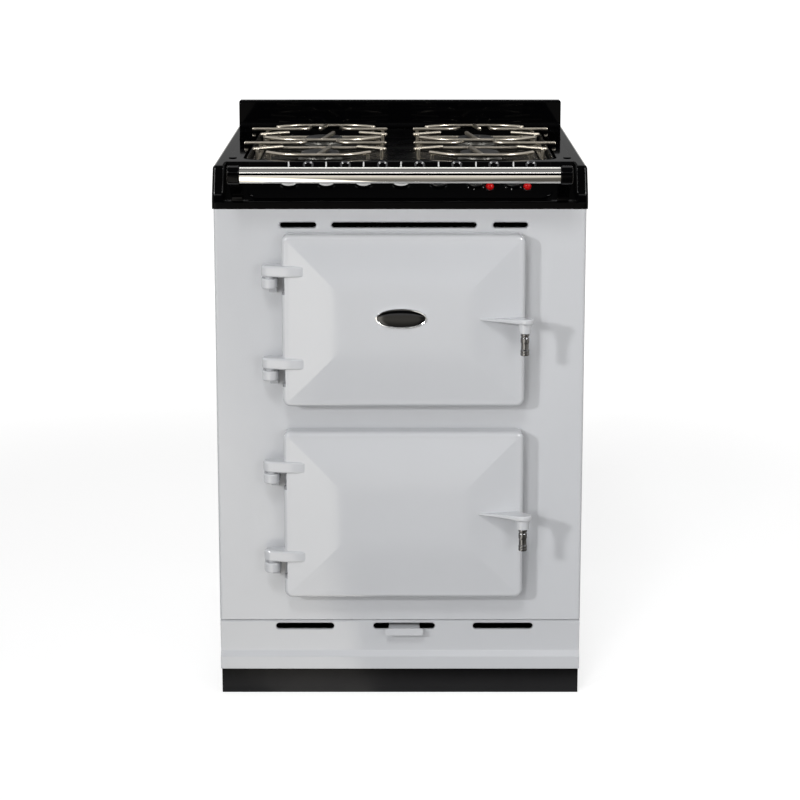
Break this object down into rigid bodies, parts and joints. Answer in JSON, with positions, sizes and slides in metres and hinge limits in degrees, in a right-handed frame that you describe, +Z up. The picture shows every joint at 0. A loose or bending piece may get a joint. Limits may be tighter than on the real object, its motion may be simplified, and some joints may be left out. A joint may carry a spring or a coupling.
{
  "type": "range cooker",
  "caption": "Free-standing cast iron range cooker: side-hung oven doors, gas hob with lift-off pan supports, turning knobs, front handrail and a pull-out plate in the lower panel.",
  "frame": {"origin": "on the floor, under the middle of the bounding box", "axes": "+X to the cooker's right seen from the front, +Y from the doors back to the wall, +Z up"},
  "size_m": [0.605, 0.697, 0.94],
  "materials": {
    "enamel": "gloss pearl grey vitreous enamel on cast iron and steel",
    "black_enamel": "gloss black vitreous enamel",
    "plinth_paint": "satin black paint",
    "rail_steel": "polished stainless steel",
    "shelf_steel": "bright plated wire",
    "bar_steel": "satin stainless steel",
    "dark_iron": "matt black enamelled",
    "chrome": "bright chrome",
    "knob_plastic": "gloss black",
    "lamp_lens": "clear red",
    "galvanised": "zinc coated sheet",
    "oven_enamel": "speckled dark vitreous enamel",
    "seal_rope": "woven glass rope",
    "brass": "machined",
    "aluminium": "cast and machined",
    "control_plastic": "moulded",
    "gas_steel": "drawn tube"
  },
  "bodies": {
    "cooker": {"plinth": "plinth_paint", "side_panel_left": "enamel", "side_panel_right": "enamel", "back_panel": "galvanised", "lower_panel": "enamel", "front_plate": "enamel", "hob_casting": "black_enamel", "hob_pan": "black_enamel", "splashback": "black_enamel", "control_fascia": "black_enamel", "switch_bank": "control_plastic", "gas_manifold": "gas_steel", "hand_rail": "rail_steel", "rail_bracket_left": "black_enamel", "rail_bracket_right": "black_enamel", "fan_motor": "galvanised", "fan_cover": "oven_enamel", "grill_element": "dark_iron", "lower_door_hinge_top": "enamel", "lower_door_hinge_bottom": "enamel", "lower_oven_liner": "oven_enamel", "lower_oven_shelf": "shelf_steel", "upper_door_hinge_top": "enamel", "upper_door_hinge_bottom": "enamel", "upper_oven_liner": "oven_enamel", "upper_oven_shelf": "shelf_steel", "burner_head_front_left": "aluminium", "burner_cap_front_left": "dark_iron", "burner_head_front_right": "aluminium", "burner_cap_front_right": "dark_iron", "burner_head_rear_left": "aluminium", "burner_cap_rear_left": "dark_iron", "burner_head_rear_right": "aluminium", "burner_cap_rear_right": "dark_iron", "neon_lamp_1": "lamp_lens", "neon_lamp_2": "lamp_lens", "gas_tap_1": "brass", "gas_tap_2": "brass", "gas_tap_3": "brass", "gas_tap_4": "brass"},
    "upper_door": {"upper_door": "enamel", "upper_door_liner": "oven_enamel", "upper_door_seal": "seal_rope", "upper_door_grip": "chrome", "door_badge": "black_enamel"},
    "lower_door": {"lower_door": "enamel", "lower_door_liner": "oven_enamel", "lower_door_seal": "seal_rope", "lower_door_grip": "chrome"},
    "pan_support_left": {"pan_support_left": "bar_steel"},
    "pan_support_right": {"pan_support_right": "bar_steel"},
    "pull_out_plate": {"pull_out_plate": "enamel"},
    "fan": {"oven_fan": "aluminium"},
    "knob_1": {"knob_1": "knob_plastic"},
    "knob_2": {"knob_2": "knob_plastic"},
    "knob_3": {"knob_3": "knob_plastic"},
    "knob_4": {"knob_4": "knob_plastic"},
    "knob_5": {"knob_5": "knob_plastic"},
    "knob_6": {"knob_6": "knob_plastic"},
    "knob_7": {"knob_7": "knob_plastic"}
  },
  "joints": [
    {"name": "upper_door_hinge", "type": "hinge", "parent": "cooker", "child": "upper_door", "pos_m": [-0.2098, -0.2805, 0.6455], "axis": [0, 0, -1], "range_deg": [0, 120]},
    {"name": "lower_door_hinge", "type": "hinge", "parent": "cooker", "child": "lower_door", "pos_m": [-0.2098, -0.2805, 0.3225], "axis": [0, 0, -1], "range_deg": [0, 120]},
    {"name": "knob_1_turn", "type": "hinge", "parent": "cooker", "child": "knob_1", "pos_m": [-0.1798, -0.20865, 0.86237], "axis": [0, -0.6518, 0.7584], "range_deg": [0, 230]},
    {"name": "knob_2_turn", "type": "hinge", "parent": "cooker", "child": "knob_2", "pos_m": [-0.1193, -0.20865, 0.86237], "axis": [0, -0.6518, 0.7584], "range_deg": [0, 230]},
    {"name": "knob_3_turn", "type": "hinge", "parent": "cooker", "child": "knob_3", "pos_m": [-0.0588, -0.20865, 0.86237], "axis": [0, -0.6518, 0.7584], "range_deg": [0, 230]},
    {"name": "knob_4_turn", "type": "hinge", "parent": "cooker", "child": "knob_4", "pos_m": [0.0017, -0.20865, 0.86237], "axis": [0, -0.6518, 0.7584], "range_deg": [0, 230]},
    {"name": "knob_5_turn", "type": "hinge", "parent": "cooker", "child": "knob_5", "pos_m": [0.0622, -0.20865, 0.86237], "axis": [0, -0.6518, 0.7584], "range_deg": [-270, 0]},
    {"name": "knob_6_turn", "type": "hinge", "parent": "cooker", "child": "knob_6", "pos_m": [0.1227, -0.20865, 0.86237], "axis": [0, -0.6518, 0.7584], "range_deg": [-270, 0]},
    {"name": "knob_7_turn", "type": "hinge", "parent": "cooker", "child": "knob_7", "pos_m": [0.1832, -0.20865, 0.86237], "axis": [0, -0.6518, 0.7584], "range_deg": [-270, 0]},
    {"name": "pan_support_left_lift", "type": "slide", "parent": "cooker", "child": "pan_support_left", "axis": [0, 0, 1], "range_m": [0, 0.12]},
    {"name": "pan_support_right_lift", "type": "slide", "parent": "cooker", "child": "pan_support_right", "axis": [0, 0, 1], "range_m": [0, 0.12]},
    {"name": "pull_out_plate_slide", "type": "slide", "parent": "cooker", "child": "pull_out_plate", "axis": [0, -1, 0], "range_m": [0, 0.06]},
    {"name": "fan_spin", "type": "hinge", "parent": "cooker", "child": "fan", "pos_m": [0.0057, 0.1855, 0.3225], "axis": [0, -1, 0], "continuous": true}
  ]
}
